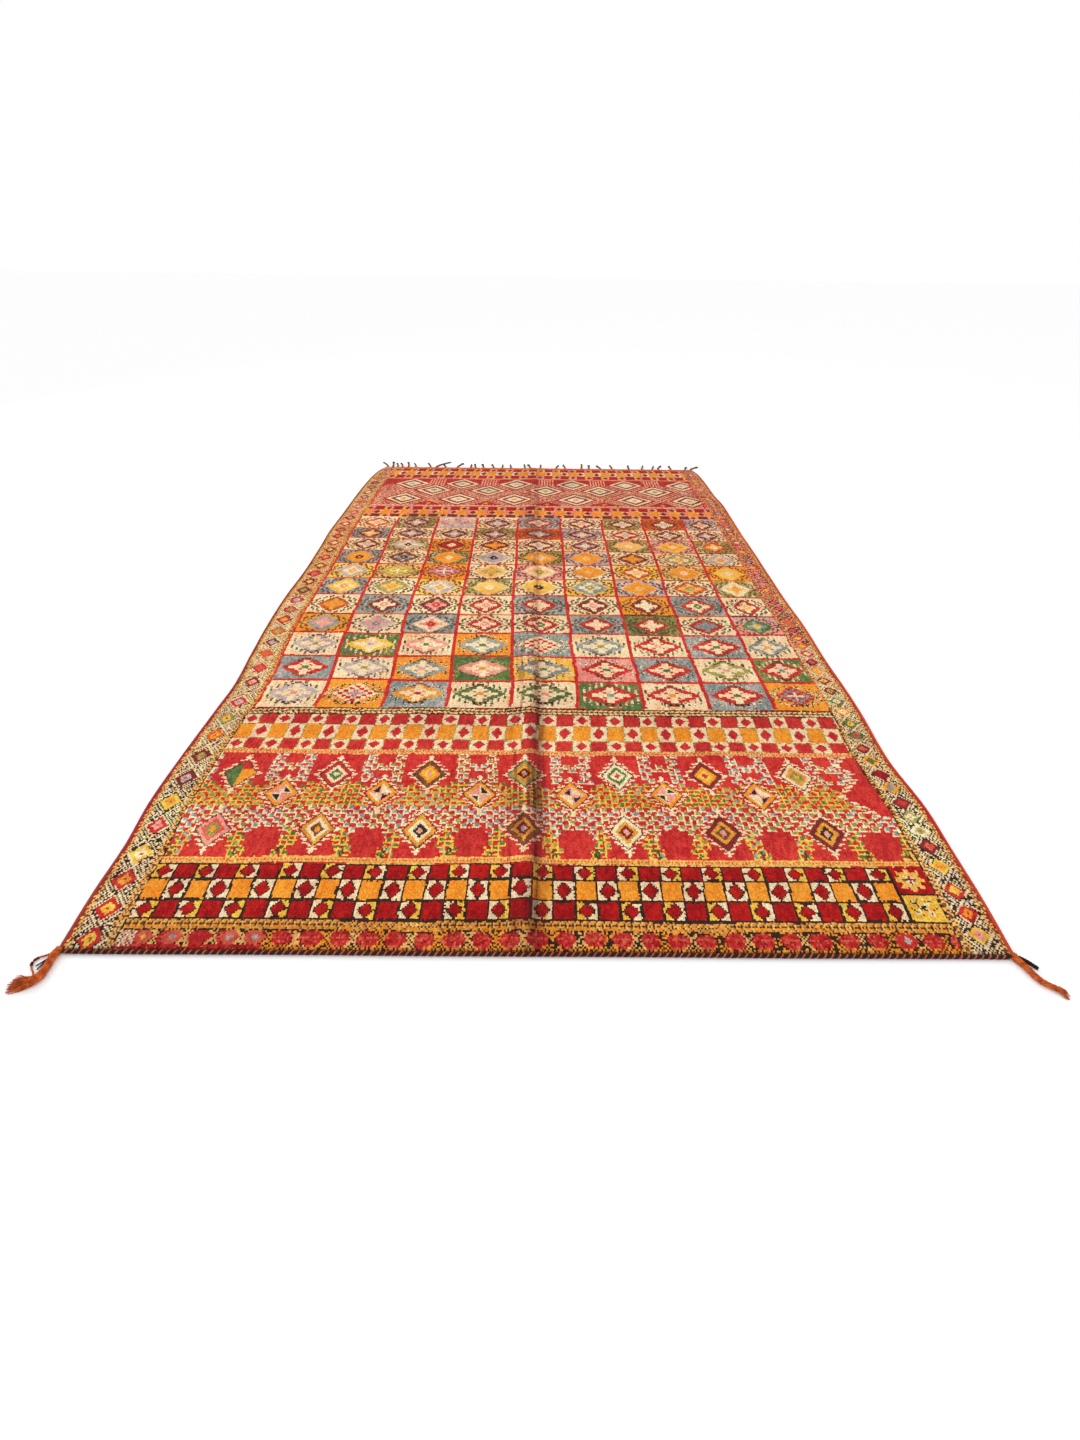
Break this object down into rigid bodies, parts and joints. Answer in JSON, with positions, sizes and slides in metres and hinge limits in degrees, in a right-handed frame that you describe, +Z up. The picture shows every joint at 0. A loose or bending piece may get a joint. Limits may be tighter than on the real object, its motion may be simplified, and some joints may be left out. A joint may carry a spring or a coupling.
{
  "type": "berber rug",
  "caption": "Hand-knotted wool berber rug lying flat, with rows of lozenge compartments, check bands, edge rolls, a twined end cord, corner tassels and a knotted fringe.",
  "frame": {"origin": "middle of the rug's bounding box, on the floor it lies on", "axes": "+Y along the rug's length from the corded end to the fringed end, +X across its width to the right seen from the corded end, +Z up out of the pile"},
  "size_m": [2.124, 4.0018, 0.0216],
  "materials": {
    "pile": "knotted wool pile",
    "edge_wool": "overcast wool yarn",
    "dark_wool": "twisted wool yarn",
    "rust_wool": "twisted wool yarn, frayed",
    "fringe_wool": "plied wool warp ends"
  },
  "bodies": {
    "root": {"rug_body": "pile", "selvedge_left": "edge_wool", "selvedge_right": "edge_wool", "end_cord_near": "dark_wool", "cord_tail_left": "dark_wool", "cord_tail_right": "dark_wool", "tassel_left": "rust_wool", "tassel_right": "rust_wool", "corner_strand_left": "rust_wool", "fringe_far": "fringe_wool"}
  },
  "joints": []
}
